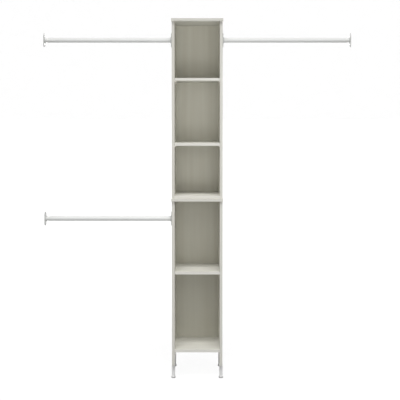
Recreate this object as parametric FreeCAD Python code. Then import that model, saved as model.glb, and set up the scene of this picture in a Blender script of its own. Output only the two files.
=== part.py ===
import FreeCAD, Part
import os
from FreeCAD import Vector, Placement, Rotation

# Closet organizer tower: two stacked open shelf units on four levelling feet,
# with three telescopic hanging rods. Millimetres, +Z up, front towards -Y,
# floor at Z = 0, the tower's middle at X = 0 and the middle of its depth at Y = 0.

# Boards
tower_width = 296.0          # across the outer faces of the side panels
side_depth = 290.0           # front edge to back edge of a side panel
board_thickness = 16.0       # every laminated board
back_thickness = 3.0         # hardboard back panels
front_overhang = 12.0        # top boards past the front edges of the side panels
side_overhang = 3.0          # top boards past the outer faces of the side panels
edge_radius = 1.0            # rounding of the banded edges
back_reveal = 2.0            # rim of the boards that shows round a back panel

# Heights
foot_height = 78.0           # floor to the lower edge of the side panels, feet screwed in
bottom_board_rise = 79.0     # lower edge of the side panels to the bottom board
lower_side_height = 967.0    # length of a lower side panel
upper_side_height = 1031.0   # length of an upper side panel
lower_shelf_clear = 443.0    # bottom board to the lower shelf
upper_low_clear = 292.0      # upper unit's bottom board to its low shelf
upper_high_clear = 362.0     # low shelf to the high shelf

# Adjustable shelves and the supports they lie on
shelf_end_gap = 0.75         # each end of a shelf to the side panel
shelf_setback = 1.0          # shelf edge behind the front edges of the side panels
shelf_back_gap = 0.8         # shelf to the back panel
shelf_rest_gap = 0.2         # shelf to the top of its supports
peg_radius = 2.5             # round peg of a shelf support
peg_length = 8.0             # how far the peg goes into the side panel
peg_hole_extra = 2.0         # hole deeper than the peg
hole_pitch = 32.0            # step between two shelf positions
holes_each_way = 2           # spare holes above and below each support
hole_inset = 37.0            # hole rows from the front and back edges
support_width = 12.0         # shelf support, front to back
support_plate = 1.5          # its upright plate
support_reach = 9.0          # how far its rest sticks out
support_rest = 2.0           # thickness of its rest
support_half_height = 5.0    # plate above and below the peg
support_round = 2.5          # corners of plate and rest
support_gusset = 5.0         # legs of the gusset under the rest
support_rib = 2.0            # thickness of the gusset

# Cam fittings and dowels in the corners of the fixed boards
cam_inset = 70.0             # cam rows from the front and back edges
cam_distance = 34.0          # middle of a cam from the joint between two boards
cam_radius = 7.5             # hole for a cam
cam_floor = 4.5              # cam hole past the middle of the board
cam_sunk = 0.2               # cam below the face of the board
cam_slot_width = 1.6
cam_slot_length = 10.0
cam_slot_depth = 2.0
cam_passage_radius = 3.8     # way into the cam for the bolt's head
bolt_thread_radius = 3.5     # threaded end of a cam bolt
bolt_thread_depth = 10.5
bolt_hole_radius = 4.0       # hole along the bolt
bolt_shank_radius = 3.0
bolt_shank_length = 23.0
bolt_neck_radius = 2.2
bolt_neck_length = 7.0
bolt_head_radius = 3.2
bolt_head_length = 4.0
bolt_end_gap = 2.0           # cam's passage past the head of the bolt
dowel_radius = 4.0
dowel_chamfer = 1.0
dowel_face_depth = 10.0      # dowel in the face of a board
dowel_edge_depth = 20.0      # dowel in the edge of a board
stack_face_depth = 8.0       # stacking dowel in the middle board
stack_edge_depth = 22.0      # stacking dowel in an upper side panel
hole_end_gap = 0.5           # hole deeper than the piece in it
fit_gap = 0.08               # between a fixed piece and its hole, all round

# Back panel nails
nail_radius = 0.8
nail_length = 18.0
nail_head_radius = 2.2
nail_head_height = 0.7
nail_rows = 5                # nails along each side panel
nail_margin = 60.0           # first nail from the end of a panel

# Levelling feet
foot_inset = 26.0            # foot from the front and back edges of a side panel
foot_travel = 20.0           # how far a foot can be screwed out
foot_gap = 0.2               # foot to the side panel when it is screwed in
foot_top_radius = 10.5
foot_waist_radius = 9.5
glide_radius = 13.0
glide_edge = 1.0             # rounding under the glide
glide_height = 8.0
glide_slope = 5.0            # sloping part between glide and waist
glide_shoulder = 4.0         # rounding above and below the sloping part
foot_top_round = 1.0         # rounding of the foot's upper end
stem_radius = 3.0            # threaded stem
stem_root = 30.0             # stem inside the foot
stem_end_gap = 3.0           # free hole above the stem
insert_radius = 5.5          # threaded insert in the edge of the side panel
insert_length = 20.0
insert_flange_radius = 7.0   # flange of the insert, flush with the edge
insert_flange = 1.5
thread_gap = 0.08            # stem to insert, all round

# Hanging rods
rod_span = 750.0             # tower to closet wall with the rod pushed in
rod_setback = 55.0           # rod behind the front edges of the side panels
upper_rod_drop = 106.0       # rod below the underside of the top board
lower_rod_drop = 106.0       # rod below the underside of the middle board
tube_radius = 14.3           # outer tube
tube_wall = 0.9
inner_radius = 12.7          # inner tube
inner_wall = 0.9
slide_gap = 0.1              # inner tube to collar and guide to outer tube
neck_length = 12.0           # inner tube that shows with the rod pushed in
inner_tube_start = 45.0      # hidden end of the inner tube from the tower
collar_lip = 4.0
collar_nose = 1.2            # bevel round the lip
collar_sleeve = 25.0
guide_head = 12.0
guide_spigot = 20.0
guide_bore_radius = 8.0

# Moulded rod flanges and their screws
flange_plate = 5.0           # thickness of the oblong plate
flange_rim = 1.5             # rounding of its rim
flange_margin = 4.0          # plate past the socket, front and back
flange_end = 11.0            # plate past the middle of a screw hole
flange_screw_spacing = 60.0
flange_skin = 2.0            # front of the plate over the hollow back
flange_wall = 2.0            # rim round the hollow back
flange_rib = 1.6             # rib from the hub to the bosses and the rim
boss_wall = 1.5              # screw boss past its countersink
socket_height = 5.0          # socket above the plate
socket_wall = 2.2
socket_flare = 1.5           # socket wider at its foot
socket_fillet = 1.2
socket_floor = 2.0           # plate left behind the end of the tube
flange_hole_radius = 2.3     # screw holes of a tower flange
wall_hole_radius = 2.6       # screw holes of a wall flange, for the heavier wall screws
screw_head_radius = 4.2
wall_head_radius = 4.7       # countersinks of a wall flange
screw_head_depth = 2.4
screw_shank_radius = 1.9
screw_length = 16.0
screw_tip = 2.0
screw_sunk = 0.2             # head below the face of the flange
recess_length = 4.4          # cross recess in the screw heads
recess_width = 0.9
recess_depth = 1.4

# Wall brackets on the top board
bracket_spread = 180.0       # between the middles of the two brackets
bracket_width = 18.0
bracket_foot = 30.0          # leg on the top board
bracket_rise = 26.0          # leg against the wall
bracket_steel = 2.0
bracket_bend = 3.0           # outer radius of the bend
bracket_round = 4.0          # corners of both legs
bracket_hole_radius = 2.5
bracket_hole_height = 15.0   # wall screw above the top board
bracket_screw_inset = 12.0   # board screw from the front end of the foot
bracket_screw_head = 3.8
bracket_screw_head_height = 2.0
bracket_screw_round = 1.3    # rounding of the pan head
bracket_screw_length = 12.0

# Modelling
cut_past = 1.0               # how far a cutting shape reaches past a face
near_enough = 1e-4           # places closer than this count as the same

# Planes worked out from the sizes above
x_outer = tower_width / 2
x_inner = x_outer - board_thickness
x_middle = x_outer - board_thickness / 2
overall_depth = front_overhang + side_depth + back_thickness + nail_head_height
y_board_front = -overall_depth / 2
y_front = y_board_front + front_overhang
y_back = y_front + side_depth
y_rear = y_back + back_thickness
y_middle = (y_front + y_back) / 2
cam_rows = (y_front + cam_inset, y_back - cam_inset)
stack_rows = ((cam_rows[0] + y_middle) / 2, (cam_rows[1] + y_middle) / 2)
hole_rows = (y_front + hole_inset, y_back - hole_inset)
foot_rows = (y_front + foot_inset, y_back - foot_inset)
z_bottom_board = foot_height + bottom_board_rise
z_middle_board = foot_height + lower_side_height
z_upper = z_middle_board + board_thickness
z_top_board = z_upper + upper_side_height
z_top = z_top_board + board_thickness
z_lower_shelf = z_bottom_board + board_thickness + lower_shelf_clear
z_upper_low = z_upper + board_thickness + upper_low_clear
z_upper_high = z_upper_low + board_thickness + upper_high_clear
y_rod = y_front + rod_setback
z_upper_rod = z_top_board - upper_rod_drop
z_lower_rod = z_middle_board - lower_rod_drop
x_axis = Vector(1, 0, 0)
y_axis = Vector(0, 1, 0)
z_axis = Vector(0, 0, 1)


# Basic shapes
def block(x0, x1, y0, y1, z0, z1):
    return Part.makeBox(x1 - x0, y1 - y0, z1 - z0, Vector(x0, y0, z0))


def revolved(profile):
    """Solid turned round Z from (radius, height) points."""
    points = [Vector(radius, 0, height) for radius, height in profile]
    wire = Part.makePolygon(points + [points[0]])
    return Part.Face(wire).revolve(Vector(0, 0, 0), z_axis, 360)


def placed(shape, origin, z_direction, x_direction):
    """Copy of a shape with its own Z and X turned to the two directions."""
    copy = shape.copy()
    y_direction = z_direction.cross(x_direction)
    copy.Placement = Placement(origin, Rotation(x_direction, y_direction, z_direction, "ZXY"))
    return copy


def drilled(radius, depth, origin, direction):
    """Tool for a round hole that starts at a face and goes into a board."""
    return Part.makeCylinder(radius, depth, origin, direction)


def mirrored(shape):
    return shape.mirror(Vector(0, 0, 0), x_axis)


def on_side(shape, side):
    """A shape made for the right side (+X), or its mirror image for the left side."""
    if side > 0:
        return shape
    return mirrored(shape)


def rounded(shape, radius, wanted):
    """Shape with the edges rounded whose middle the test picks."""
    edges = [edge for edge in shape.Edges if wanted(edge.CenterOfMass)]
    return shape.makeFillet(radius, edges)


def near(value, target):
    return abs(value - target) < near_enough


def cut_all(shape, tools):
    if not tools:
        return shape
    return shape.cut(tools).Solids[0]


def group(solids):
    return Part.makeCompound(solids)


# Cam fittings and dowels. Origin on the joint, Z into the board that holds the cam,
# X towards the face that the cam is put in from.
def cam_bolt():
    shank_end = bolt_shank_length
    neck_end = shank_end + bolt_neck_length
    head_end = neck_end + bolt_head_length
    thread = bolt_thread_radius - fit_gap
    return revolved([
        (0, -bolt_thread_depth), (thread, -bolt_thread_depth), (thread, 0),
        (bolt_shank_radius, 0), (bolt_shank_radius, shank_end),
        (bolt_neck_radius, shank_end), (bolt_neck_radius, neck_end),
        (bolt_head_radius, neck_end), (bolt_head_radius, head_end), (0, head_end)])


def cam_lock():
    depth = board_thickness / 2 + cam_floor
    face = board_thickness / 2 - cam_sunk
    body = Part.makeCylinder(cam_radius - fit_gap, depth - cam_sunk,
                             Vector(-cam_floor, 0, cam_distance), x_axis)
    head_end = bolt_shank_length + bolt_neck_length + bolt_head_length
    passage_start = cam_distance - cam_radius
    passage = Part.makeCylinder(cam_passage_radius, head_end + bolt_end_gap - passage_start,
                                Vector(0, 0, passage_start), z_axis)
    slot = block(face - cam_slot_depth, face + cut_past, -cam_slot_width / 2, cam_slot_width / 2,
                 cam_distance - cam_slot_length / 2, cam_distance + cam_slot_length / 2)
    return cut_all(body, [passage, slot])


def cam_holes():
    depth = board_thickness / 2 + cam_floor
    along = Part.makeCylinder(bolt_hole_radius, cam_distance, Vector(0, 0, 0), z_axis)
    pocket = Part.makeCylinder(cam_radius, depth, Vector(-cam_floor, 0, cam_distance), x_axis)
    return along.fuse(pocket)


def thread_hole():
    depth = bolt_thread_depth + hole_end_gap
    return Part.makeCylinder(bolt_thread_radius, depth, Vector(0, 0, -depth), z_axis)


def dowel(depth_below, depth_above):
    """Round dowel with a bevel at both ends."""
    radius = dowel_radius - fit_gap
    tip = radius - dowel_chamfer
    return revolved([
        (0, -depth_below), (tip, -depth_below), (radius, dowel_chamfer - depth_below),
        (radius, depth_above - dowel_chamfer), (tip, depth_above), (0, depth_above)])


def dowel_hole(depth_below, depth_above):
    length = depth_below + depth_above + 2 * hole_end_gap
    return Part.makeCylinder(dowel_radius, length, Vector(0, 0, -depth_below - hole_end_gap), z_axis)


# Where the fittings of the right-hand side are: origin, Z direction, X direction
def top_places(z):
    """Joint between a side panel and the top board that lies on it."""
    return [(Vector(x_middle, y, z), -z_axis, -x_axis) for y in cam_rows]


def end_places(z):
    """Joint between a side panel and the end of the bottom board whose underside is at z."""
    height = z + board_thickness / 2
    return [(Vector(x_inner, y, height), -x_axis, -z_axis) for y in cam_rows]


def dowel_top_place(z):
    return (Vector(x_middle, y_middle, z), -z_axis, -x_axis)


def dowel_end_place(z):
    return (Vector(x_inner, y_middle, z + board_thickness / 2), -x_axis, -z_axis)


def stack_places():
    return [(Vector(x_middle, y, z_upper), z_axis, x_axis) for y in stack_rows]


def fitting_places():
    places = []
    for z in (z_middle_board, z_top_board):
        places += top_places(z)
    for z in (z_bottom_board, z_upper):
        places += end_places(z)
    return places


def dowel_places():
    tops = [dowel_top_place(z) for z in (z_middle_board, z_top_board)]
    ends = [dowel_end_place(z) for z in (z_bottom_board, z_upper)]
    return tops + ends


def both_sides(shape, places):
    """The same piece at every place of the right side and of the left side."""
    right = [placed(shape, *place) for place in places]
    return right + [mirrored(piece) for piece in right]


# Holes of the shelf supports in the right-hand side panel
def support_height(z_shelf):
    """Height of the pegs under a shelf whose underside is at z_shelf."""
    return z_shelf - shelf_rest_gap - support_half_height


def support_holes(z_shelf):
    depth = peg_length + peg_hole_extra
    holes = []
    for y in hole_rows:
        for step in range(-holes_each_way, holes_each_way + 1):
            z = support_height(z_shelf) + step * hole_pitch
            holes.append(drilled(peg_radius, depth, Vector(x_inner, y, z), x_axis))
    return holes


def shelf_support():
    """Bracket with a round peg, on the right side panel, peg at the origin."""
    half = support_width / 2
    top = support_half_height
    peg = Part.makeCylinder(peg_radius - fit_gap, peg_length + support_plate / 2,
                            Vector(-support_plate / 2, 0, 0), x_axis)
    plate = block(-support_plate, 0, -half, half, -top, top)
    plate = rounded(plate, support_round, lambda c: near(abs(c.y), half) and near(c.z, -top))
    rest = block(-support_reach, -support_plate, -half, half, top - support_rest, top)
    rest = rounded(rest, support_round, lambda c: near(abs(c.y), half) and near(c.x, -support_reach))
    corner = Vector(-support_plate, -support_rib / 2, top - support_rest)
    low_end = corner - Vector(0, 0, support_gusset)
    far_end = corner - Vector(support_gusset, 0, 0)
    gusset = Part.Face(Part.makePolygon([corner, low_end, far_end, corner]))
    gusset = gusset.extrude(Vector(0, support_rib, 0))
    return plate.fuse([peg, rest, gusset]).removeSplitter().Solids[0]


def supports_under(z_shelf):
    height = support_height(z_shelf)
    places = [(Vector(x_inner, y, height), z_axis, x_axis) for y in hole_rows]
    return both_sides(shelf_support(), places)


# Nails of the back panels: heads against the rear face, points forwards
def nail_heights(z_low, z_high):
    low = z_low + nail_margin
    step = (z_high - z_low - 2 * nail_margin) / (nail_rows - 1)
    return [low + row * step for row in range(nail_rows)]


def side_nails(z_low, z_high):
    points = [Vector(x_middle, y_rear, z) for z in nail_heights(z_low, z_high)]
    return points + [Vector(-point.x, point.y, point.z) for point in points]


def board_nail(z_board):
    return Vector(0, y_rear, z_board + board_thickness / 2)


lower_nails = side_nails(z_bottom_board, z_upper)
upper_nails = side_nails(z_upper, z_top)
lower_board_nails = [board_nail(z_bottom_board), board_nail(z_middle_board)]
upper_board_nails = [board_nail(z_upper), board_nail(z_top_board)]


def nail():
    head = nail_head_radius
    shank = nail_radius - fit_gap
    return revolved([
        (0, -nail_length), (shank, -nail_length + 2 * shank), (shank, 0), (head, 0),
        (head, nail_head_height), (0, nail_head_height)])


def nail_holes(points):
    depth = nail_length + hole_end_gap
    return [drilled(nail_radius, depth, point, -y_axis) for point in points]


# Screws of the tower flanges, in the right-hand side panel
def flange_points(x, z_rod):
    half = flange_screw_spacing / 2
    return [Vector(x, y_rod, z_rod + shift) for shift in (-half, half)]


def flange_screw_depth():
    return screw_length - flange_plate + screw_sunk + hole_end_gap


def flange_screw_holes(z_rod):
    return [drilled(screw_shank_radius, flange_screw_depth(), point, -x_axis)
            for point in flange_points(x_outer, z_rod)]


# Feet: threaded inserts and the holes for them in the right-hand lower side panel
def foot_places():
    return [Vector(x_middle, y, 0) for y in foot_rows]


def stem_top():
    return foot_height + insert_length + foot_travel + stem_end_gap


def insert_holes():
    holes = []
    for place in foot_places():
        start = place + Vector(0, 0, foot_height)
        holes.append(drilled(insert_flange_radius, insert_flange, start, z_axis))
        holes.append(drilled(insert_radius, insert_length, start, z_axis))
        clear = stem_top() + stem_end_gap - foot_height
        holes.append(drilled(stem_radius + 2 * thread_gap, clear, start, z_axis))
    return holes


def leveller_insert():
    """Threaded insert with a flange at its lower end."""
    outer = insert_radius - fit_gap
    rim = insert_flange_radius - fit_gap
    bore = stem_radius + thread_gap
    lip = insert_flange - fit_gap
    return revolved([
        (bore, 0), (rim, 0), (rim, lip), (outer, lip), (outer, insert_length), (bore, insert_length)])


# Boards
def side_panel(z_low, height):
    """Right-hand side panel without its holes, front edge rounded."""
    panel = block(x_inner, x_outer, y_front, y_back, z_low, z_low + height)
    middle = z_low + height / 2
    return rounded(panel, edge_radius, lambda c: near(c.y, y_front) and near(c.z, middle))


def side_hole_tools(top_z, bottom_z):
    """Holes of the cam fittings and dowels at both ends of the right-hand panel."""
    tools = [placed(cam_holes(), *place) for place in top_places(top_z)]
    tools += [placed(thread_hole(), *place) for place in end_places(bottom_z)]
    tools.append(placed(dowel_hole(dowel_face_depth, dowel_edge_depth), *dowel_top_place(top_z)))
    tools.append(placed(dowel_hole(dowel_face_depth, dowel_edge_depth), *dowel_end_place(bottom_z)))
    return tools


def lower_side(side):
    tools = side_hole_tools(z_middle_board, z_bottom_board)
    tools += support_holes(z_lower_shelf)
    tools += insert_holes()
    tools += nail_holes([point for point in lower_nails if point.x > 0])
    if side < 0:
        tools += flange_screw_holes(z_lower_rod)
    return on_side(cut_all(side_panel(foot_height, lower_side_height), tools), side)


def upper_side(side):
    tools = side_hole_tools(z_top_board, z_upper)
    tools += support_holes(z_upper_low) + support_holes(z_upper_high)
    tools += [placed(dowel_hole(stack_face_depth, stack_edge_depth), *place) for place in stack_places()]
    tools += nail_holes([point for point in upper_nails if point.x > 0])
    tools += flange_screw_holes(z_upper_rod)
    return on_side(cut_all(side_panel(z_upper, upper_side_height), tools), side)


def overhanging_board(z):
    """Top board of a unit, lying on the side panels, its three open edges rounded."""
    x = x_outer + side_overhang
    board = block(-x, x, y_board_front, y_back, z, z + board_thickness)

    def open_edge(c):
        return near(c.y, y_board_front) or (near(abs(c.x), x) and not near(c.y, y_back))

    board = rounded(board, edge_radius, open_edge)
    tools = both_sides(thread_hole(), top_places(z))
    tools += both_sides(dowel_hole(dowel_face_depth, dowel_edge_depth), [dowel_top_place(z)])
    return board, tools


def middle_board():
    board, tools = overhanging_board(z_middle_board)
    tools += both_sides(dowel_hole(stack_face_depth, stack_edge_depth), stack_places())
    tools += nail_holes(lower_board_nails[1:])
    return cut_all(board, tools)


def top_board():
    board, tools = overhanging_board(z_top_board)
    tools += nail_holes(upper_board_nails[1:])
    tools += [drilled(screw_shank_radius, bracket_screw_length + hole_end_gap, point, -z_axis)
              for point in bracket_screw_points(z_top)]
    return cut_all(board, tools)


def bottom_board(z, nails):
    """Fixed board between the side panels, front edge rounded."""
    board = block(-x_inner, x_inner, y_front, y_back, z, z + board_thickness)
    board = rounded(board, edge_radius, lambda c: near(c.y, y_front) and near(c.x, 0))
    tools = both_sides(cam_holes(), end_places(z))
    tools += both_sides(dowel_hole(dowel_face_depth, dowel_edge_depth), [dowel_end_place(z)])
    return cut_all(board, tools + nail_holes(nails))


def adjustable_shelf(z):
    x = x_inner - shelf_end_gap
    front = y_front + shelf_setback
    shelf = block(-x, x, front, y_back - shelf_back_gap, z, z + board_thickness)
    return rounded(shelf, edge_radius, lambda c: near(c.y, front) and near(c.x, 0))


def back_panel(z_low, z_high, nails):
    x = x_outer - back_reveal
    panel = block(-x, x, y_back, y_rear, z_low + back_reveal, z_high - back_reveal)
    return cut_all(panel, nail_holes(nails))


# Levelling feet
def foot_body():
    """Tapered foot that swells to its glide, hollow for the stem."""
    top = foot_height - foot_gap
    slope = glide_height + glide_slope
    bore = stem_radius + fit_gap
    body = revolved([
        (0, 0), (glide_radius - glide_edge, 0), (glide_radius, glide_edge),
        (glide_radius, glide_height), (foot_waist_radius, slope), (foot_top_radius, top),
        (bore, top), (bore, top - stem_root), (0, top - stem_root)])
    body = rounded(body, glide_shoulder, lambda c: near(c.z, glide_height) or near(c.z, slope))
    outer_rim = [edge for edge in body.Edges
                 if near(edge.CenterOfMass.z, top) and near(edge.BoundBox.XLength, 2 * foot_top_radius)]
    return body.makeFillet(foot_top_round, outer_rim)


def foot_stem():
    low = foot_height - foot_gap - stem_root
    return Part.makeCylinder(stem_radius, stem_top() - low, Vector(0, 0, low), z_axis)


# Rods are made along Z, away from the tower's side, and laid on their place afterwards
tube_end = rod_span - flange_plate - socket_height - neck_length - collar_lip


def tube(radius, wall, start, end):
    bore = radius - wall
    return revolved([(bore, start), (radius, start), (radius, end), (bore, end)])


def outer_tube():
    return tube(tube_radius, tube_wall, socket_floor, tube_end)


def inner_tube():
    return tube(inner_radius, inner_wall, inner_tube_start, rod_span - socket_floor)


def rod_collar():
    """Plastic collar: a sleeve in the tube's mouth and a bevelled lip in front of it."""
    bore = inner_radius + slide_gap
    sleeve = tube_radius - tube_wall - fit_gap
    lip_end = tube_end + collar_lip
    return revolved([
        (bore, tube_end - collar_sleeve), (sleeve, tube_end - collar_sleeve), (sleeve, tube_end),
        (tube_radius, tube_end), (tube_radius, lip_end - collar_nose),
        (tube_radius - collar_nose, lip_end), (bore, lip_end)])


def rod_guide():
    head = tube_radius - tube_wall - slide_gap
    spigot = inner_radius - inner_wall - fit_gap
    head_start = inner_tube_start - guide_head
    spigot_end = inner_tube_start + guide_spigot
    return revolved([
        (guide_bore_radius, head_start), (head, head_start), (head, inner_tube_start),
        (spigot, inner_tube_start), (spigot, spigot_end), (guide_bore_radius, spigot_end)])


def oblong(half_length, half_width, height):
    """Plate with half-round ends on the plane Z = 0, its length along X."""
    straight = half_length - half_width
    corners = [Vector(straight, -half_width, 0), Vector(straight, half_width, 0),
               Vector(-straight, half_width, 0), Vector(-straight, -half_width, 0)]
    tip = Vector(half_length, 0, 0)
    wire = Part.Wire([
        Part.Arc(corners[0], tip, corners[1]).toShape(), Part.makeLine(corners[1], corners[2]),
        Part.Arc(corners[2], -tip, corners[3]).toShape(), Part.makeLine(corners[3], corners[0])])
    return Part.Face(wire).extrude(Vector(0, 0, height))


def flange_hollow(half_length, half_width, hub_radius, boss_radius):
    """What is left out of a flange's back, round its hub, its two screw bosses and its rib."""
    depth = flange_plate - flange_skin
    kept = [drilled(hub_radius, depth, Vector(0, 0, 0), z_axis),
            block(-half_length, half_length, -flange_rib / 2, flange_rib / 2, 0, depth)]
    for shift in (-flange_screw_spacing / 2, flange_screw_spacing / 2):
        kept.append(drilled(boss_radius, depth, Vector(shift, 0, 0), z_axis))
    return oblong(half_length - flange_wall, half_width - flange_wall, depth).cut(kept).Solids


def flange(bore_radius, hole_radius, sink_radius):
    """Oblong moulded flange on the plane Z = 0, its length along X, socket towards +Z."""
    mouth = tube_radius + socket_wall
    root = mouth + socket_flare
    half_width = root + flange_margin
    half_length = flange_screw_spacing / 2 + flange_end
    plate = oblong(half_length, half_width, flange_plate)
    plate = rounded(plate, flange_rim, lambda c: near(c.z, flange_plate))
    cone = Part.makeCone(root, mouth, socket_height, Vector(0, 0, flange_plate), z_axis)
    body = plate.fuse(cone).removeSplitter()
    foot_edges = [edge for edge in body.Edges
                  if near(edge.CenterOfMass.z, flange_plate) and near(edge.BoundBox.XLength, 2 * root)]
    body = body.makeFillet(socket_fillet, foot_edges)
    bore = drilled(bore_radius, flange_plate + socket_height, Vector(0, 0, socket_floor), z_axis)
    tools = [bore] + flange_hollow(half_length, half_width, root, sink_radius + boss_wall)
    for shift in (-flange_screw_spacing / 2, flange_screw_spacing / 2):
        tools.append(drilled(hole_radius, flange_plate, Vector(shift, 0, 0), z_axis))
        sink_start = flange_plate - screw_sunk - screw_head_depth
        tools.append(Part.makeCone(hole_radius, sink_radius, screw_head_depth,
                                   Vector(shift, 0, sink_start), z_axis))
        tools.append(drilled(sink_radius, screw_sunk + cut_past,
                             Vector(shift, 0, flange_plate - screw_sunk), z_axis))
    return cut_all(body, tools)


def cross_recess(z_face):
    """Two crossed slots for the driver in a screw head whose flat is at z_face."""
    long = recess_length / 2
    short = recess_width / 2
    low = z_face - recess_depth
    high = z_face + cut_past
    return [block(-long, long, -short, short, low, high), block(-short, short, -long, long, low, high)]


def countersunk_screw():
    """Screw along Z with the flat of its head at Z = 0."""
    shank = screw_shank_radius - fit_gap
    head = screw_head_radius
    body = revolved([
        (0, -screw_length), (shank, -screw_length + screw_tip), (shank, -screw_head_depth),
        (head, 0), (0, 0)])
    return cut_all(body, cross_recess(0))


def rod_piece(shape, side, z_rod):
    """A piece made along Z, laid along X on the right or the left side of the tower."""
    direction = Vector(side, 0, 0)
    return placed(shape, Vector(side * x_outer, y_rod, z_rod), direction, z_axis)


def tower_flange():
    return flange(tube_radius + fit_gap, flange_hole_radius, screw_head_radius + fit_gap)


def wall_flange():
    return flange(inner_radius + fit_gap, wall_hole_radius, wall_head_radius)


def wall_flange_piece(side, z_rod):
    origin = Vector(side * (x_outer + rod_span), y_rod, z_rod)
    return placed(wall_flange(), origin, Vector(-side, 0, 0), z_axis)


# Wall brackets
def bracket_middles():
    return (-bracket_spread / 2, bracket_spread / 2)


def bracket_screw_points(z):
    y = y_rear - bracket_foot + bracket_screw_inset
    return [Vector(x, y, z) for x in bracket_middles()]


def wall_bracket(x):
    left = x - bracket_width / 2
    right = x + bracket_width / 2
    outside = block(left, right, y_rear - bracket_foot, y_rear, z_top, z_top + bracket_rise)
    outside = rounded(outside, bracket_bend, lambda c: near(c.y, y_rear) and near(c.z, z_top))
    inside = block(left - cut_past, right + cut_past,
                   y_rear - bracket_foot - cut_past, y_rear - bracket_steel,
                   z_top + bracket_steel, z_top + bracket_rise + cut_past)
    inner_bend = bracket_bend - bracket_steel
    inside = rounded(inside, inner_bend, lambda c: near(c.y, y_rear - bracket_steel)
                     and near(c.z, z_top + bracket_steel))
    angle = cut_all(outside, [inside])

    def free_corner(c):
        at_side = near(abs(c.x - x), bracket_width / 2)
        return at_side and (near(c.z, z_top + bracket_rise) or near(c.y, y_rear - bracket_foot))

    angle = rounded(angle, bracket_round, free_corner)
    through = bracket_steel + 2 * cut_past
    wall_point = Vector(x, y_rear + cut_past, z_top + bracket_hole_height)
    holes = [drilled(bracket_hole_radius, through, wall_point, -y_axis)]
    holes += [drilled(bracket_hole_radius, through, point, z_axis)
              for point in bracket_screw_points(z_top - cut_past) if near(point.x, x)]
    return cut_all(angle, holes)


def bracket_screw():
    """Pan-head screw along Z with the underside of its head at Z = 0."""
    shank = screw_shank_radius - fit_gap
    head = bracket_screw_head
    top = bracket_screw_head_height
    low = -bracket_screw_length - bracket_steel
    body = revolved([
        (0, low), (shank, low + screw_tip), (shank, 0), (head, 0), (head, top), (0, top)])
    body = rounded(body, bracket_screw_round, lambda c: near(c.z, top))
    return cut_all(body, cross_recess(top))


# The whole tower, one entry for each node
def tower_nodes():
    nodes = {
        "lower_left_side": lower_side(-1),
        "lower_right_side": lower_side(1),
        "lower_bottom_board": bottom_board(z_bottom_board, lower_board_nails[:1]),
        "lower_shelf": adjustable_shelf(z_lower_shelf),
        "middle_board": middle_board(),
        "lower_back_panel": back_panel(z_bottom_board, z_upper, lower_nails + lower_board_nails),
        "upper_left_side": upper_side(-1),
        "upper_right_side": upper_side(1),
        "upper_bottom_board": bottom_board(z_upper, upper_board_nails[:1]),
        "upper_shelf_low": adjustable_shelf(z_upper_low),
        "upper_shelf_high": adjustable_shelf(z_upper_high),
        "top_board": top_board(),
        "upper_back_panel": back_panel(z_upper, z_top, upper_nails + upper_board_nails),
    }
    nodes["cam_bolts"] = group(both_sides(cam_bolt(), fitting_places()))
    nodes["cam_locks"] = group(both_sides(cam_lock(), fitting_places()))
    nodes["board_dowels"] = group(both_sides(dowel(dowel_face_depth, dowel_edge_depth), dowel_places()))
    nodes["stacking_dowels"] = group(both_sides(dowel(stack_face_depth, stack_edge_depth), stack_places()))
    for name, z in (("lower_shelf", z_lower_shelf), ("upper_shelf_low", z_upper_low),
                    ("upper_shelf_high", z_upper_high)):
        nodes[name + "_supports"] = group(supports_under(z))
    nail_points = lower_nails + lower_board_nails + upper_nails + upper_board_nails
    nodes["back_panel_nails"] = group([placed(nail(), point, y_axis, x_axis) for point in nail_points])
    nodes.update(foot_nodes())
    nodes.update(rod_nodes())
    nodes["wall_brackets"] = group([wall_bracket(x) for x in bracket_middles()])
    nodes["wall_bracket_screws"] = group([placed(bracket_screw(), point, z_axis, x_axis)
                                          for point in bracket_screw_points(z_top + bracket_steel)])
    return nodes


def foot_nodes():
    nodes = {}
    inserts = []
    for side, side_name in ((-1, "left"), (1, "right")):
        for y, row_name in zip(foot_rows, ("front", "rear")):
            place = Vector(side * x_middle, y, 0)
            name = row_name + "_" + side_name
            nodes["foot_body_" + name] = placed(foot_body(), place, z_axis, x_axis)
            nodes["foot_stem_" + name] = placed(foot_stem(), place, z_axis, x_axis)
            inserts.append(placed(leveller_insert(), place + Vector(0, 0, foot_height), z_axis, x_axis))
    nodes["leveller_inserts"] = group(inserts)
    return nodes


def rod_nodes():
    nodes = {}
    screws = []
    for name, side, z_rod in (("upper_left", -1, z_upper_rod), ("lower_left", -1, z_lower_rod),
                              ("right", 1, z_upper_rod)):
        nodes["tower_flange_" + name] = rod_piece(tower_flange(), side, z_rod)
        nodes["outer_tube_" + name] = rod_piece(outer_tube(), side, z_rod)
        nodes["rod_collar_" + name] = rod_piece(rod_collar(), side, z_rod)
        nodes["inner_tube_" + name] = rod_piece(inner_tube(), side, z_rod)
        nodes["rod_guide_" + name] = rod_piece(rod_guide(), side, z_rod)
        nodes["wall_flange_" + name] = wall_flange_piece(side, z_rod)
        head_x = side * (x_outer + flange_plate - screw_sunk)
        for point in flange_points(head_x, z_rod):
            screws.append(placed(countersunk_screw(), point, Vector(side, 0, 0), z_axis))
    nodes["flange_screws"] = group(screws)
    return nodes


os.makedirs("parts", exist_ok=True)
for node_name, node_shape in tower_nodes().items():
    node_shape.exportStep("parts/" + node_name + ".step")
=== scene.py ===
import math

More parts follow.
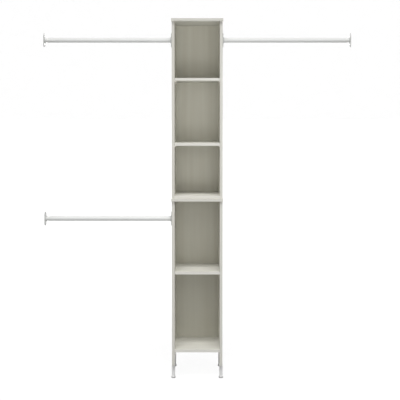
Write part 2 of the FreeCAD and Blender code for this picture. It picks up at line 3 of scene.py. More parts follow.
import bpy
import numpy as np
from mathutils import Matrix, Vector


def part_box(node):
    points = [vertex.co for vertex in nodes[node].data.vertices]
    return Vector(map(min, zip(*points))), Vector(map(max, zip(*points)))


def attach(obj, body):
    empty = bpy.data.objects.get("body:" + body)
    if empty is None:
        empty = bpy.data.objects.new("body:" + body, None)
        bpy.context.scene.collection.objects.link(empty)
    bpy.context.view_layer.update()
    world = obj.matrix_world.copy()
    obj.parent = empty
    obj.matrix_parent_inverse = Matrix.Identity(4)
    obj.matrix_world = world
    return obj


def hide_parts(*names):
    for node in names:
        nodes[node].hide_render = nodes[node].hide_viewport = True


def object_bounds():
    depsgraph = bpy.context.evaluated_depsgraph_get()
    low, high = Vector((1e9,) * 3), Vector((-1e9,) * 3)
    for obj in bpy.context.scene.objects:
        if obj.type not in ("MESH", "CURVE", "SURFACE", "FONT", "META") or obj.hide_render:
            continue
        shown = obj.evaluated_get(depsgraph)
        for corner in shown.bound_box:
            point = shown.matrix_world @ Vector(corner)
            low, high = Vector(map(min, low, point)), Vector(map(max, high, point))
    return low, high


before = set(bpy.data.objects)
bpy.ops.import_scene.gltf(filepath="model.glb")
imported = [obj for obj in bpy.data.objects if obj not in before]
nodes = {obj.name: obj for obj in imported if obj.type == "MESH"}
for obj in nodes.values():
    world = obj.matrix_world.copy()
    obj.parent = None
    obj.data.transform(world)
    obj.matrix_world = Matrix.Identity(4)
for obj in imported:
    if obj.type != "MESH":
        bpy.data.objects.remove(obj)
cad_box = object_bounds()

# Real sizes in metres
mm = 0.001
top_face = 2108.0 * mm              # upper face of the top board
edge_band = 1.0 * mm                # band on the front edge of a board
band_joint = 0.1 * mm               # half width of the hairline behind the band
faced_skin = 1.1 * mm               # deeper than this in a board is the wall of a hole
saw_cut = 0.05 * mm                 # depth taken as the sawn face of a board
foil_skin = 0.05 * mm               # pale foil on the front of a hardboard
tube_wall = 0.9 * mm
rim_round = 0.35 * mm               # rolled rim at a tube's end
thread_pitch = 1.0 * mm             # levelling feet
thread_depth = 0.55 * mm
stem_chamfer = 0.9 * mm
darker_below = 9.0 * mm                 # a foot's plastic turns darker below this height
plain_above = 16.0 * mm               # and keeps its own colour above this one
flange_plate = 5.0 * mm
flange_screw_reach = 30.0 * mm      # screw above and below the middle of a flange
flange_screw_sunk = 0.2 * mm
bracket_screw_x = 90.0 * mm
bracket_screw_y = 134.15 * mm
bracket_steel = 2.0 * mm
countersunk_screw = {
    "head_radius": 4.2 * mm, "head_top": 0.0, "head_low": 2.4 * mm, "shank": 1.8 * mm,
    "length": 16.0 * mm, "pitch": 1.6 * mm, "span": 4.6 * mm, "width": 1.1 * mm, "depth": 1.7 * mm}
pan_head_screw = {
    "head_radius": 3.8 * mm, "head_top": 1.1 * mm, "head_low": 0.9 * mm, "shank": 1.8 * mm,
    "length": 14.9 * mm, "pitch": 1.6 * mm, "span": 4.4 * mm, "width": 1.1 * mm, "depth": 1.6 * mm}

# Fineness of the new meshes
tube_sides = 96
tube_rows = 25
rim_rows = 5
stem_sides = 40
rows_per_pitch = 8
screw_sides = 64
head_rings = 22
underside_rings = 5
thread_rows = 60
sharp_angle = math.radians(38)

# Names of the CAD pieces, and for each rod the side that it points to
rods = {"upper_left": -1, "lower_left": -1, "right": 1}
feet = ("front_left", "rear_left", "front_right", "rear_right")
upright_boards = ("lower_left_side", "lower_right_side", "upper_left_side", "upper_right_side")
top_boards = ("middle_board", "top_board")
shelf_boards = (
    "lower_bottom_board", "lower_shelf", "upper_bottom_board", "upper_shelf_low", "upper_shelf_high")
loose_shelves = ("lower_shelf", "upper_shelf_low", "upper_shelf_high")


# Shader nodes
def linear(code):
    """Linear RGBA of an sRGB hex colour."""
    parts = np.array([int(code[start:start + 2], 16) for start in (1, 3, 5)]) / 255
    straight = np.where(parts <= 0.04045, parts / 12.92, ((parts + 0.055) / 1.055) ** 2.4)
    return (*straight.tolist(), 1.0)


def add(tree, kind, inputs, **settings):
    """One node: its settings, and each input either a constant or another node's output."""
    node = tree.nodes.new(kind)
    for name, value in settings.items():
        setattr(node, name, value)
    for key, value in inputs.items():
        if isinstance(value, bpy.types.NodeSocket):
            tree.links.new(value, node.inputs[key])
        else:
            node.inputs[key].default_value = value
    return node


def blank(name):
    """New node material, its empty tree and the object coordinates that its patterns read."""
    made = bpy.data.materials.new(name)
    made.use_nodes = True
    tree = made.node_tree
    tree.nodes.clear()
    place = add(tree, "ShaderNodeTexCoord", {}).outputs["Object"]
    return made, tree, place


# Places of the mix node's two colour inputs and of its colour output
MIX_A, MIX_B, MIX_OUT = 6, 7, 2


def particle_board(tree, place):
    """Raw cut edge of particle board: pressed wood chips about 2 mm across, tan to pale straw."""
    chip = 2.2 * mm
    chips = add(tree, "ShaderNodeTexVoronoi", {"Vector": place, "Scale": 1 / chip})
    shade = add(tree, "ShaderNodeSeparateColor", {"Color": chips.outputs["Color"]})
    wood = add(tree, "ShaderNodeMix", {
        0: shade.outputs["Red"], MIX_A: linear("#A98A5F"), MIX_B: linear("#D8C096")}, data_type="RGBA")
    return wood.outputs[MIX_OUT]


def melamine_board(node, along, number, band_dark, band_pale):
    """Melamine-faced particle board: pale warm-grey paper under a hard satin resin, with a faint
    printed wood figure along the board. The front edge has a slightly darker band whose joint is a
    hairline. The back edge and the walls of the drilled holes show the raw chips."""
    figure_share = 0.7
    fibre_share = 0.3
    figure_size = np.full(3, 34 * mm)
    figure_size[along] = 900 * mm
    fibre_size = np.full(3, 1.6 * mm)
    fibre_size[along] = 45 * mm
    low, high = (np.array(corner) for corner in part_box(node))
    made, tree, place = blank("melamine_" + node)

    # Each board starts elsewhere in the print
    shift = (3.7 * number, 1.9 * number, 5.3 * number)
    figure_place = add(tree, "ShaderNodeMapping", {
        "Vector": place, "Location": shift, "Scale": (1 / figure_size).tolist()})
    figure = add(tree, "ShaderNodeTexNoise", {
        "Vector": figure_place.outputs[0], "Scale": 1.0, "Detail": 3.0, "Distortion": 0.4})
    fibre_place = add(tree, "ShaderNodeMapping", {
        "Vector": place, "Location": shift, "Scale": (1 / fibre_size).tolist()})
    fibre = add(tree, "ShaderNodeTexNoise", {
        "Vector": fibre_place.outputs[0], "Scale": 1.0, "Detail": 2.0})
    grain = add(tree, "ShaderNodeMath", {
        0: figure.outputs["Fac"], 1: figure_share}, operation="MULTIPLY")
    grain = add(tree, "ShaderNodeMath", {
        0: fibre.outputs["Fac"], 1: fibre_share, 2: grain.outputs[0]}, operation="MULTIPLY_ADD")
    tone = add(tree, "ShaderNodeMapRange", {
        "Value": grain.outputs[0], "From Min": 0.36, "From Max": 0.64})
    paper = add(tree, "ShaderNodeMix", {
        0: tone.outputs[0], MIX_A: linear("#D2D0C7"), MIX_B: linear("#DCDBD3")}, data_type="RGBA")
    band = add(tree, "ShaderNodeMix", {
        0: tone.outputs[0], MIX_A: linear(band_dark), MIX_B: linear(band_pale)}, data_type="RGBA")

    # A hole's wall lies deeper than the skin under all six faces of the board
    depth = add(tree, "ShaderNodeVectorMath", {
        0: place, 1: ((low + high) / 2).tolist()}, operation="SUBTRACT")
    depth = add(tree, "ShaderNodeVectorMath", {0: depth.outputs[0]}, operation="ABSOLUTE")
    depth = add(tree, "ShaderNodeVectorMath", {
        0: depth.outputs[0], 1: ((high - low) / 2).tolist()}, operation="SUBTRACT")
    depth = add(tree, "ShaderNodeSeparateXYZ", {0: depth.outputs[0]})
    inside = add(tree, "ShaderNodeMath", {
        0: depth.outputs[0], 1: depth.outputs[1]}, operation="MAXIMUM")
    inside = add(tree, "ShaderNodeMath", {
        0: inside.outputs[0], 1: depth.outputs[2]}, operation="MAXIMUM")
    hole = add(tree, "ShaderNodeMath", {0: inside.outputs[0], 1: -faced_skin}, operation="LESS_THAN")
    across = add(tree, "ShaderNodeSeparateXYZ", {0: place}).outputs["Y"]
    cut_edge = add(tree, "ShaderNodeMath", {
        0: across, 1: high[1] - saw_cut}, operation="GREATER_THAN")
    raw = add(tree, "ShaderNodeMath", {
        0: hole.outputs[0], 1: cut_edge.outputs[0]}, operation="MAXIMUM")

    banded = add(tree, "ShaderNodeMath", {0: across, 1: low[1] + edge_band}, operation="LESS_THAN")
    faced = add(tree, "ShaderNodeMix", {
        0: banded.outputs[0], MIX_A: paper.outputs[MIX_OUT],
        MIX_B: band.outputs[MIX_OUT]}, data_type="RGBA")
    hairline = add(tree, "ShaderNodeMath", {
        0: across, 1: low[1] + edge_band, 2: band_joint}, operation="COMPARE")
    faced = add(tree, "ShaderNodeMix", {
        0: hairline.outputs[0], MIX_A: faced.outputs[MIX_OUT],
        MIX_B: linear("#A9A59B")}, data_type="RGBA")
    colour = add(tree, "ShaderNodeMix", {
        0: raw.outputs[0], MIX_A: faced.outputs[MIX_OUT],
        MIX_B: particle_board(tree, place)}, data_type="RGBA")
    gloss = add(tree, "ShaderNodeMapRange", {
        "Value": fibre.outputs["Fac"], "To Min": 0.40, "To Max": 0.54})
    rough = add(tree, "ShaderNodeMath", {
        0: gloss.outputs[0], 1: raw.outputs[0]}, operation="MAXIMUM")
    relief = add(tree, "ShaderNodeBump", {
        "Strength": 0.3, "Distance": 0.03 * mm, "Height": fibre.outputs["Fac"]})
    resin = add(tree, "ShaderNodeBsdfPrincipled", {
        "Base Color": colour.outputs[MIX_OUT], "Roughness": rough.outputs[0], "IOR": 1.5,
        "Normal": relief.outputs[0]})
    add(tree, "ShaderNodeOutputMaterial", {"Surface": resin.outputs[0]})
    return made


def hardboard_panel(node, number, dark, pale):
    """Thin hardboard: the face in the compartments carries the boards' pale foil with upright
    figure, the rear is bare brown fibre, mottled in soft patches a hand across, with the fine screen
    marks of the press."""
    figure_width = 38 * mm
    figure_length = 1000 * mm
    fibre_tuft = 3.0 * mm
    patch_size = 80 * mm
    patch_share = 0.4
    screen_mesh = 1.6 * mm
    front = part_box(node)[0][1]
    made, tree, place = blank("hardboard_" + node)

    # The two panels start elsewhere in the print
    shift = (6.1 * number, 2.3, 0.7 * number)
    figure_place = add(tree, "ShaderNodeMapping", {
        "Vector": place, "Location": shift,
        "Scale": (1 / figure_width, 1 / figure_width, 1 / figure_length)})
    figure = add(tree, "ShaderNodeTexNoise", {
        "Vector": figure_place.outputs[0], "Scale": 1.0, "Detail": 3.0, "Distortion": 0.3})
    tone = add(tree, "ShaderNodeMapRange", {
        "Value": figure.outputs["Fac"], "From Min": 0.34, "From Max": 0.66})
    foil = add(tree, "ShaderNodeMix", {
        0: tone.outputs[0], MIX_A: linear(dark), MIX_B: linear(pale)}, data_type="RGBA")

    felt = add(tree, "ShaderNodeTexNoise", {
        "Vector": place, "Scale": 1 / fibre_tuft, "Detail": 5.0, "Roughness": 0.65})
    patch = add(tree, "ShaderNodeTexNoise", {
        "Vector": place, "Scale": 1 / patch_size, "Detail": 3.0})
    mottle = add(tree, "ShaderNodeMath", {
        0: patch.outputs["Fac"], 1: patch_share, 2: felt.outputs["Fac"]}, operation="MULTIPLY_ADD")
    mottle = add(tree, "ShaderNodeMapRange", {
        "Value": mottle.outputs[0], "From Min": patch_share / 2, "From Max": 1 + patch_share / 2})
    fibre = add(tree, "ShaderNodeMix", {
        0: mottle.outputs[0], MIX_A: linear("#6B4A2E"), MIX_B: linear("#A37B52")}, data_type="RGBA")

    across = add(tree, "ShaderNodeSeparateXYZ", {0: place}).outputs["Y"]
    bare = add(tree, "ShaderNodeMath", {0: across, 1: front + foil_skin}, operation="GREATER_THAN")
    colour = add(tree, "ShaderNodeMix", {
        0: bare.outputs[0], MIX_A: foil.outputs[MIX_OUT],
        MIX_B: fibre.outputs[MIX_OUT]}, data_type="RGBA")
    rough = add(tree, "ShaderNodeMapRange", {
        "Value": bare.outputs[0], "To Min": 0.5, "To Max": 0.85})
    screen = add(tree, "ShaderNodeTexVoronoi", {
        "Vector": place, "Scale": 1 / screen_mesh, "Randomness": 0.15}, distance="CHEBYCHEV")
    marks = add(tree, "ShaderNodeMath", {
        0: screen.outputs["Distance"], 1: bare.outputs[0]}, operation="MULTIPLY")
    relief = add(tree, "ShaderNodeBump", {
        "Strength": 0.5, "Distance": 0.2 * mm, "Height": marks.outputs[0]})
    board = add(tree, "ShaderNodeBsdfPrincipled", {
        "Base Color": colour.outputs[MIX_OUT], "Roughness": rough.outputs[0], "IOR": 1.5,
        "Normal": relief.outputs[0]})
    add(tree, "ShaderNodeOutputMaterial", {"Surface": board.outputs[0]})
    return made


def moulded_plastic(name, dark, pale, grit, rough, near_floor_colour=""):
    """Injection-moulded plastic: one dyed colour with a slight cloudiness from the melt, and the
    fine spark-eroded grit of the mould, which softens its highlights. Given a near-floor colour, it
    turns darker to that towards the floor, in an uneven edge between the two heights."""
    melt_cloud = 14 * mm
    gloss_spread = 0.06
    made, tree, place = blank(name)
    melt = add(tree, "ShaderNodeTexNoise", {"Vector": place, "Scale": 1 / melt_cloud, "Detail": 2.0})
    colour = add(tree, "ShaderNodeMix", {
        0: melt.outputs["Fac"], MIX_A: linear(dark), MIX_B: linear(pale)}, data_type="RGBA")
    # Towards the floor the colour turns darker, to the near-floor colour, with an uneven edge
    if near_floor_colour:
        height = add(tree, "ShaderNodeSeparateXYZ", {0: place}).outputs["Z"]
        ragged = add(tree, "ShaderNodeMath", {
            0: melt.outputs["Fac"], 1: plain_above - darker_below, 2: height}, operation="MULTIPLY_ADD")
        floor_darkening = add(tree, "ShaderNodeMapRange", {
            "Value": ragged.outputs[0], "From Min": darker_below, "From Max": plain_above,
            "To Min": 1.0, "To Max": 0.0})
        colour = add(tree, "ShaderNodeMix", {
            0: floor_darkening.outputs[0], MIX_A: colour.outputs[MIX_OUT], MIX_B: linear(near_floor_colour)}, data_type="RGBA")
    grain = add(tree, "ShaderNodeTexNoise", {"Vector": place, "Scale": 1 / grit, "Detail": 2.0})
    gloss = add(tree, "ShaderNodeMapRange", {
        "Value": grain.outputs["Fac"], "To Min": rough - gloss_spread, "To Max": rough + gloss_spread})
    relief = add(tree, "ShaderNodeBump", {
        "Strength": 0.25, "Distance": 0.05 * mm, "Height": grain.outputs["Fac"]})
    body = add(tree, "ShaderNodeBsdfPrincipled", {
        "Base Color": colour.outputs[MIX_OUT], "Roughness": gloss.outputs[0], "IOR": 1.49,
        "Normal": relief.outputs[0]})
    add(tree, "ShaderNodeOutputMaterial", {"Surface": body.outputs[0]})
    return made


def baked_enamel():
    """White baked enamel on steel tube: bright and even, half glossy, with the soft orange-peel
    ripple of sprayed powder, about 3 mm from crest to crest."""
    ripple = 3 * mm
    coat_cloud = 60 * mm
    made, tree, place = blank("baked_enamel")
    peel = add(tree, "ShaderNodeTexNoise", {"Vector": place, "Scale": 1 / ripple, "Detail": 1.0})
    cloud = add(tree, "ShaderNodeTexNoise", {"Vector": place, "Scale": 1 / coat_cloud, "Detail": 2.0})
    colour = add(tree, "ShaderNodeMix", {
        0: cloud.outputs["Fac"], MIX_A: linear("#DADBD9"), MIX_B: linear("#DEDFDE")}, data_type="RGBA")
    gloss = add(tree, "ShaderNodeMapRange", {
        "Value": cloud.outputs["Fac"], "To Min": 0.38, "To Max": 0.48})
    relief = add(tree, "ShaderNodeBump", {
        "Strength": 0.1, "Distance": 0.03 * mm, "Height": peel.outputs["Fac"]})
    paint = add(tree, "ShaderNodeBsdfPrincipled", {
        "Base Color": colour.outputs[MIX_OUT], "Roughness": gloss.outputs[0], "IOR": 1.52,
        "Specular IOR Level": 0.25, "Normal": relief.outputs[0]})
    add(tree, "ShaderNodeOutputMaterial", {"Surface": paint.outputs[0]})
    return made


def metal(name, dark, pale, patch, rough):
    """Plated or cast metal: small fittings whose coating varies a little in tone from patch to
    patch, with fine handling scuffs that blur the reflection unevenly."""
    scuff_size = 0.8 * mm
    polished_by = 0.1
    scuffed_by = 0.14
    made, tree, place = blank(name)
    coat = add(tree, "ShaderNodeTexNoise", {"Vector": place, "Scale": 1 / patch, "Detail": 4.0})
    colour = add(tree, "ShaderNodeMix", {
        0: coat.outputs["Fac"], MIX_A: linear(dark), MIX_B: linear(pale)}, data_type="RGBA")
    scuff = add(tree, "ShaderNodeTexNoise", {
        "Vector": place, "Scale": 1 / scuff_size, "Detail": 3.0, "Distortion": 1.0})
    gloss = add(tree, "ShaderNodeMapRange", {
        "Value": scuff.outputs["Fac"], "To Min": rough - polished_by, "To Max": rough + scuffed_by})
    relief = add(tree, "ShaderNodeBump", {
        "Strength": 0.15, "Distance": 0.02 * mm, "Height": scuff.outputs["Fac"]})
    plate = add(tree, "ShaderNodeBsdfPrincipled", {
        "Base Color": colour.outputs[MIX_OUT], "Metallic": 1.0, "Roughness": gloss.outputs[0],
        "Normal": relief.outputs[0]})
    add(tree, "ShaderNodeOutputMaterial", {"Surface": plate.outputs[0]})
    return made


def turned_beech():
    """Beech dowel: pinkish straw wood with the short dark flecks of its rays, planed and dry."""
    fleck_width = 0.6 * mm
    fleck_length = 3 * mm
    made, tree, place = blank("turned_beech")
    fleck_place = add(tree, "ShaderNodeMapping", {
        "Vector": place, "Scale": (1 / fleck_width, 1 / fleck_width, 1 / fleck_length)})
    fleck = add(tree, "ShaderNodeTexNoise", {
        "Vector": fleck_place.outputs[0], "Scale": 1.0, "Detail": 2.0})
    tone = add(tree, "ShaderNodeMapRange", {
        "Value": fleck.outputs["Fac"], "From Min": 0.35, "From Max": 0.6})
    colour = add(tree, "ShaderNodeMix", {
        0: tone.outputs[0], MIX_A: linear("#A87B52"), MIX_B: linear("#D2AC80")}, data_type="RGBA")
    wood = add(tree, "ShaderNodeBsdfPrincipled", {
        "Base Color": colour.outputs[MIX_OUT], "Roughness": 0.7, "IOR": 1.5})
    add(tree, "ShaderNodeOutputMaterial", {"Surface": wood.outputs[0]})
    return made


# Finishes: dark and pale tone, then grit of the mould or size of the patches, then roughness
enamel = baked_enamel()
flange_plastic = moulded_plastic("light_grey_polypropylene", "#BABBB9", "#C2C3C1", 0.5 * mm, 0.42)
collar_plastic = moulded_plastic("natural_nylon", "#DDDDD8", "#E6E6E2", 0.7 * mm, 0.38)
# The feet's plastic turns darker towards the floor
foot_plastic = moulded_plastic("light_grey_abs", "#D9D9D8", "#DFDFDE", 0.6 * mm, 0.4, near_floor_colour="#A9A9A8")
zinc = metal("zinc_plated_steel", "#B4B8BA", "#CDD0D0", 5 * mm, 0.34)
nickel = metal("nickel_plated_steel", "#B9B5AC", "#CBC7BE", 6 * mm, 0.26)
cast_zinc = metal("die_cast_zinc", "#8F9193", "#A9ABAD", 3 * mm, 0.5)
beech = turned_beech()
# The shelves' edge band is a shade paler than the frame's: partly a real difference of band, partly
# painted light for the extra light on the shelves' front edges
shelf_band_painted_lighter = ("#CDCBC3", "#D7D6CF")
frame_band = ("#C3C1B9", "#CDCCC5")


def dress(names, made):
    """Gives CAD pieces their material."""
    for name in names:
        for slot in nodes[name].material_slots:
            slot.material = made


for number, board in enumerate(upright_boards + top_boards + shelf_boards):
    band_tones = shelf_band_painted_lighter if board in shelf_boards else frame_band
    grain_axis = 2 if board in upright_boards else 0
    dress([board], melamine_board(board, grain_axis, number, *band_tones))
# The lower back panel's foil is painted a shade darker and the upper's a shade paler: painted shade for
# the dimmer lower compartments, painted light for the brighter upper ones
dress(["lower_back_panel"], hardboard_panel("lower_back_panel", 0, "#C5C2B4", "#CBC9BC"))
dress(["upper_back_panel"], hardboard_panel("upper_back_panel", 1, "#CBC8BA", "#D1CFC2"))
dress(["tower_flange_" + rod for rod in rods], flange_plastic)
dress(["wall_flange_" + rod for rod in rods], flange_plastic)
dress(["rod_collar_" + rod for rod in rods], collar_plastic)
dress(["rod_guide_" + rod for rod in rods], collar_plastic)
dress(["foot_body_" + foot for foot in feet], foot_plastic)
dress(["cam_bolts", "back_panel_nails", "leveller_inserts", "wall_brackets"], zinc)
dress([shelf + "_supports" for shelf in loose_shelves], nickel)
dress(["cam_locks"], cast_zinc)
dress(["board_dowels", "stacking_dowels"], beech)


# Surfaces
def around(radius, height, origin, axis):
    """Points about an axis: origin + height * axis + radius * (cos(turn), sin(turn)) in the plane
    across it. Rows follow the profile, columns the turn."""
    axis = np.array(axis, float)
    first = np.roll(np.abs(axis), 1)
    second = np.cross(axis, first)
    turn = np.linspace(0, 2 * math.pi, radius.shape[1], endpoint=False)
    flat = np.cos(turn)[:, None] * first + np.sin(turn)[:, None] * second
    return np.array(origin) + height[..., None] * axis + radius[..., None] * flat


def skin(grids, ring):
    """Vertices and faces over grids of points. The last column joins the first. In a ring the last
    row joins the first too, and otherwise the first and last rows are each closed by a fan."""
    vertices, faces = [], []
    count = 0
    for grid in grids:
        rows, columns = grid.shape[:2]
        index = count + np.arange(rows * columns).reshape(rows, columns)
        if ring:
            index = np.vstack([index, index[:1]])
        beside = np.roll(index, -1, axis=1)
        quads = np.stack([index[:-1], beside[:-1], beside[1:], index[1:]], axis=-1)
        faces += quads.reshape(-1, 4).tolist()
        vertices.append(grid.reshape(-1, 3))
        count += rows * columns
        if not ring:
            vertices.append(np.stack([grid[0].mean(0), grid[-1].mean(0)]))
            low_fan = np.stack([beside[0], index[0], np.full(columns, count)], axis=-1)
            high_fan = np.stack([index[-1], beside[-1], np.full(columns, count + 1)], axis=-1)
            faces += low_fan.tolist() + high_fan.tolist()
            count += 2
    return np.concatenate(vertices), faces


def piece(name, grids, ring, made, body, node):
    """Object with that skin, smooth up to sharp corners, which takes a CAD piece's place."""
    vertices, faces = skin(grids, ring)
    mesh = bpy.data.meshes.new(name)
    mesh.from_pydata(vertices.tolist(), [], faces)
    mesh.shade_smooth()
    mesh.set_sharp_from_angle(angle=sharp_angle)
    mesh.materials.append(made)
    obj = bpy.data.objects.new(name, mesh)
    bpy.context.scene.collection.objects.link(obj)
    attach(obj, body)
    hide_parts(node)


def tube(node, side):
    """Steel tube along X: a closed ring profile, straight outside and bore joined by a half-round
    rim at each end, turned round the rod's line."""
    low, high = (np.array(corner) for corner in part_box(node))
    radius = (high[2] - low[2]) / 2
    length = high[0] - low[0]
    start = (low + high) / 2 - np.array([side * length / 2, 0, 0])
    bend = np.linspace(0, math.pi / 2, rim_rows) - math.pi / 2
    rim_outside = radius - rim_round * (1 - np.cos(bend))
    rim_inside = radius - tube_wall + rim_round * (1 - np.cos(bend))
    rim_height = rim_round * (1 + np.sin(bend))
    along = np.linspace(rim_round, length - rim_round, tube_rows)[1:-1]
    profile_radius = np.concatenate([
        rim_outside, np.full(along.size, radius), rim_outside[::-1],
        rim_inside, np.full(along.size, radius - tube_wall), rim_inside[::-1]])
    profile_height = np.concatenate([
        rim_height, along, length - rim_height[::-1],
        length - rim_height, along[::-1], rim_height[::-1]])
    turns = np.ones((1, tube_sides))
    return around(profile_radius[:, None] * turns, profile_height[:, None] * turns, start, (side, 0, 0))


def stem(node):
    """Threaded stem: radius = crest - depth * rounded saw of (height / pitch - turn / full turn),
    so the groove climbs one pitch in each turn. Both ends taper in a short chamfer."""
    saw_round = 0.8
    low, high = (np.array(corner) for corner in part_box(node))
    foot_x, foot_y = (low[:2] + high[:2]) / 2
    crest = (high[0] - low[0]) / 2
    length = high[2] - low[2]
    rows = int(rows_per_pitch * length / thread_pitch)
    height = np.linspace(0, length, rows)[:, None] * np.ones((1, stem_sides))
    turn = np.linspace(0, 1, stem_sides, endpoint=False)[None, :]
    phase = np.mod(height / thread_pitch - turn, 1)
    groove = np.abs(2 * phase - 1)
    radius = crest - thread_depth * groove ** saw_round
    end_distance = np.minimum(height, length - height)
    radius = np.minimum(radius, crest - stem_chamfer + end_distance)
    return around(radius, height, (foot_x, foot_y, low[2]), (0, 0, 1))


def cross_recess(radius, turn, span, width, depth):
    """Depth of a cross recess at a point of a screw's head: full along two crossing bars, with
    walls that slope in over a third of the bar's width and towards its ends."""
    reach = np.abs(radius * np.cos(turn))
    aside = np.abs(radius * np.sin(turn))
    near_bar = np.minimum(reach, aside)
    along_bar = np.maximum(reach, aside)
    wall = np.clip((width / 2 - near_bar) / (width / 3), 0, 1)
    end = np.clip((span / 2 - along_bar) / (span / 4), 0, 1)
    return depth * wall * end


def screw(origin, axis, head_radius, head_top, head_low, shank, length, pitch, span, width, depth):
    """Wood screw down from its head: a head disc with a dome and a cross recess, the underside
    down to the shank, a coarse thread whose ridge climbs one pitch a turn, and a point."""
    head_middle = 0.02      # innermost ring of the head, as a share of its radius
    core = 0.72             # the rest of the shank's radius is the ridge
    ridge_width = 0.35      # as a share of the pitch
    tip = 0.05              # blunt end of the point, as a share of the shank
    point_slope = 0.9
    turn = np.linspace(0, 2 * math.pi, screw_sides, endpoint=False)[None, :]
    ones = np.ones_like(turn)
    disc = np.linspace(head_radius, head_middle * head_radius, head_rings)[:, None] * ones
    dome = head_top * (1 - (disc / head_radius) ** 2) - cross_recess(disc, turn, span, width, depth)
    fall = np.linspace(0, 1, underside_rings)[:, None] * ones
    under_radius = shank + (head_radius - shank) * fall
    under_height = -head_low * (1 - fall)
    run = np.linspace(-length, -head_low, thread_rows)[:-1, None] * ones
    phase = np.mod(run / pitch - turn / (2 * math.pi), 1)
    ridge = np.clip(1 - np.abs(2 * phase - 1) / ridge_width, 0, 1)
    threaded = shank * core + shank * (1 - core) * ridge
    thread_radius = np.minimum(threaded, tip * shank + (run + length) * point_slope)
    radius = np.concatenate([thread_radius, under_radius[:-1], disc])
    height = np.concatenate([run, under_height[:-1], dome])
    return around(radius, height, origin, axis)


for rod, side in rods.items():
    outer = "outer_tube_" + rod
    piece("enamelled_" + outer, [tube(outer, side)], True, enamel, "tower", outer)
    inner = "inner_tube_" + rod
    piece("enamelled_" + inner, [tube(inner, side)], True, enamel, "rod_" + rod, inner)
for foot in feet:
    plain = "foot_stem_" + foot
    piece("threaded_stem_" + foot, [stem(plain)], False, zinc, "foot_" + foot, plain)

flange_screws = []
for rod, side in rods.items():
    low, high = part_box("tower_flange_" + rod)
    tower_side = low[0] if side > 0 else high[0]
    head_x = tower_side + side * (flange_plate - flange_screw_sunk)
    for reach in (-flange_screw_reach, flange_screw_reach):
        seat = (head_x, (low[1] + high[1]) / 2, (low[2] + high[2]) / 2 + reach)
        flange_screws.append(screw(seat, (side, 0, 0), **countersunk_screw))
piece("countersunk_flange_screws", flange_screws, False, zinc, "tower", "flange_screws")

bracket_screws = []
for x in (-bracket_screw_x, bracket_screw_x):
    seat = (x, bracket_screw_y, top_face + bracket_steel + pan_head_screw["head_low"])
    bracket_screws.append(screw(seat, (0, 0, 1), **pan_head_screw))
piece("pan_head_bracket_screws", bracket_screws, False, zinc, "tower", "wall_bracket_screws")


# Stage, light and camera
pure_white = (1, 1, 1, 1)
white_grain = 0.2               # spread of the studio's grain round full white
floor_half = 400.0
floor_gap = 0.3 * mm            # between the glides and the floor
floor_lift = 0.1                # added white that keeps the floor beside the shadow full white
shadow_near = 0.8               # the shadow fades out between these distances from the tower
shadow_far = 2.4
clear_share = 0.85              # of the floor, where the shadow is full

# Place, aim, width and height in metres, and watts
softboxes = {
    "overhead_bank": ((0.0, -8.6, 16.1), (0, 0, 1.0), 18.0, 6.0, 3300.0),
    "front_fill": ((0.11, -1.5, 1.6), (0, 0, 1.6), 1.0, 1.0, 4.8),
    "low_fill": ((0.23, -3.2, 0.38), (0, 0, 1.1), 1.8, 0.6, 9.0),
    "rear_fill": ((0.0, 5.0, 1.9), (0, 0, 1.9), 4.0, 2.0, 130.0),
    "left_fill": ((-5.0, 0.0, 1.8), (0, 0, 1.8), 1.2, 1.2, 66.0),
    "right_fill": ((5.0, 0.0, 1.8), (0, 0, 1.8), 1.2, 1.2, 66.0),
}
camera_place = (0.0, -5.131, 1.538)
camera_dip = 0.034              # radians below the level


def seen_or_mirrored(tree):
    """1 for rays from the camera, from reflections and through glass, 0 for rays that light things."""
    path = add(tree, "ShaderNodeLightPath", {})
    seen = add(tree, "ShaderNodeMath", {
        0: path.outputs["Is Camera Ray"], 1: path.outputs["Is Glossy Ray"]}, operation="MAXIMUM")
    seen = add(tree, "ShaderNodeMath", {
        0: seen.outputs[0], 1: path.outputs["Is Transmission Ray"]}, operation="MAXIMUM")
    return seen.outputs[0]


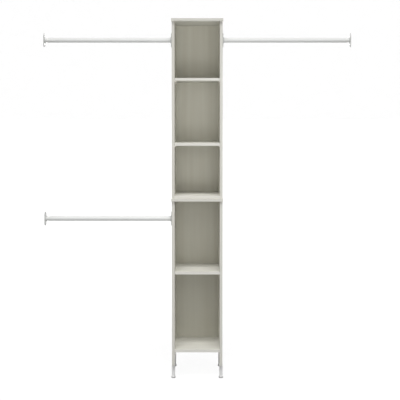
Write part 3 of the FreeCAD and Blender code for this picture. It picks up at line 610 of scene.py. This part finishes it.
def floor():
    """Flat white floor. Round the tower it takes a share of the light and so the tower's shadow, and
    that share fades out with the distance, so that the floor ends nowhere. The rest of it lets the
    white studio through, with a slight lift, so a foot that is screwed out stays in sight."""
    level = cad_box[0][2] - floor_gap
    corners = [(-floor_half, -floor_half, level), (floor_half, -floor_half, level),
               (floor_half, floor_half, level), (-floor_half, floor_half, level)]
    mesh = bpy.data.meshes.new("floor")
    mesh.from_pydata(corners, [], [(0, 1, 2, 3)])
    made, tree, place = blank("white_floor")
    matt = add(tree, "ShaderNodeBsdfDiffuse", {"Color": linear("#C4C4C4")})
    clear = add(tree, "ShaderNodeBsdfTransparent", {"Color": pure_white})
    lift = add(tree, "ShaderNodeEmission", {"Color": pure_white, "Strength": floor_lift})
    clear = add(tree, "ShaderNodeAddShader", {0: clear.outputs[0], 1: lift.outputs[0]})
    away = add(tree, "ShaderNodeVectorMath", {0: place}, operation="LENGTH")
    share = add(tree, "ShaderNodeMapRange", {
        "Value": away.outputs["Value"], "From Min": shadow_near, "From Max": shadow_far,
        "To Min": clear_share, "To Max": 1.0})
    share = add(tree, "ShaderNodeMath", {
        0: seen_or_mirrored(tree), 1: share.outputs[0]}, operation="MULTIPLY")
    mixed = add(tree, "ShaderNodeMixShader", {
        0: share.outputs[0], 1: matt.outputs[0], 2: clear.outputs[0]})
    add(tree, "ShaderNodeOutputMaterial", {"Surface": mixed.outputs[0]})
    mesh.materials.append(made)
    obj = bpy.data.objects.new("floor", mesh)
    obj.visible_shadow = False
    bpy.context.scene.collection.objects.link(obj)


def surroundings():
    """White studio all round, which the camera and reflections see and which lights nothing. Its
    fine even grain averages out to plain white, and with it the denoiser clears the thin rods as
    well as it clears the boards."""
    world = bpy.data.worlds.new("white_studio")
    bpy.context.scene.world = world
    world.use_nodes = True
    tree = world.node_tree
    tree.nodes.clear()
    way = add(tree, "ShaderNodeTexCoord", {}).outputs["Generated"]
    speck = add(tree, "ShaderNodeTexWhiteNoise", {"Vector": way})
    grain = add(tree, "ShaderNodeMapRange", {
        "Value": speck.outputs["Value"], "To Min": 1 - white_grain, "To Max": 1 + white_grain})
    strength = add(tree, "ShaderNodeMath", {
        0: seen_or_mirrored(tree), 1: grain.outputs[0]}, operation="MULTIPLY")
    studio = add(tree, "ShaderNodeBackground", {"Color": pure_white, "Strength": strength.outputs[0]})
    add(tree, "ShaderNodeOutputWorld", {"Surface": studio.outputs[0]})


def softbox(name, place, aim, width, height, watts):
    """Rectangular studio lamp that points at the aim."""
    lamp = bpy.data.lights.new(name, "AREA")
    lamp.shape = "RECTANGLE"
    lamp.size = width
    lamp.size_y = height
    lamp.energy = watts
    obj = bpy.data.objects.new(name, lamp)
    bpy.context.scene.collection.objects.link(obj)
    obj.location = place
    way = np.array(aim, float) - np.array(place, float)
    across = math.hypot(way[0], way[1])
    obj.rotation_euler = (math.atan2(across, -way[2]), 0.0, math.atan2(way[1], way[0]) - math.pi / 2)


floor()
surroundings()
for name, settings in softboxes.items():
    softbox(name, *settings)

photo_camera = bpy.data.cameras.new("photo_camera")
photo_camera.sensor_width = 36.0
photo_camera.lens = 77.24
photo_camera.shift_x = 0.007
photo_camera.shift_y = -0.135
camera = bpy.data.objects.new("photo_camera", photo_camera)
camera.location = camera_place
camera.rotation_euler = (math.pi / 2 - camera_dip, 0.0, 0.0)
bpy.context.scene.collection.objects.link(camera)
bpy.context.scene.camera = camera
bpy.context.scene.view_settings.view_transform = "Standard"
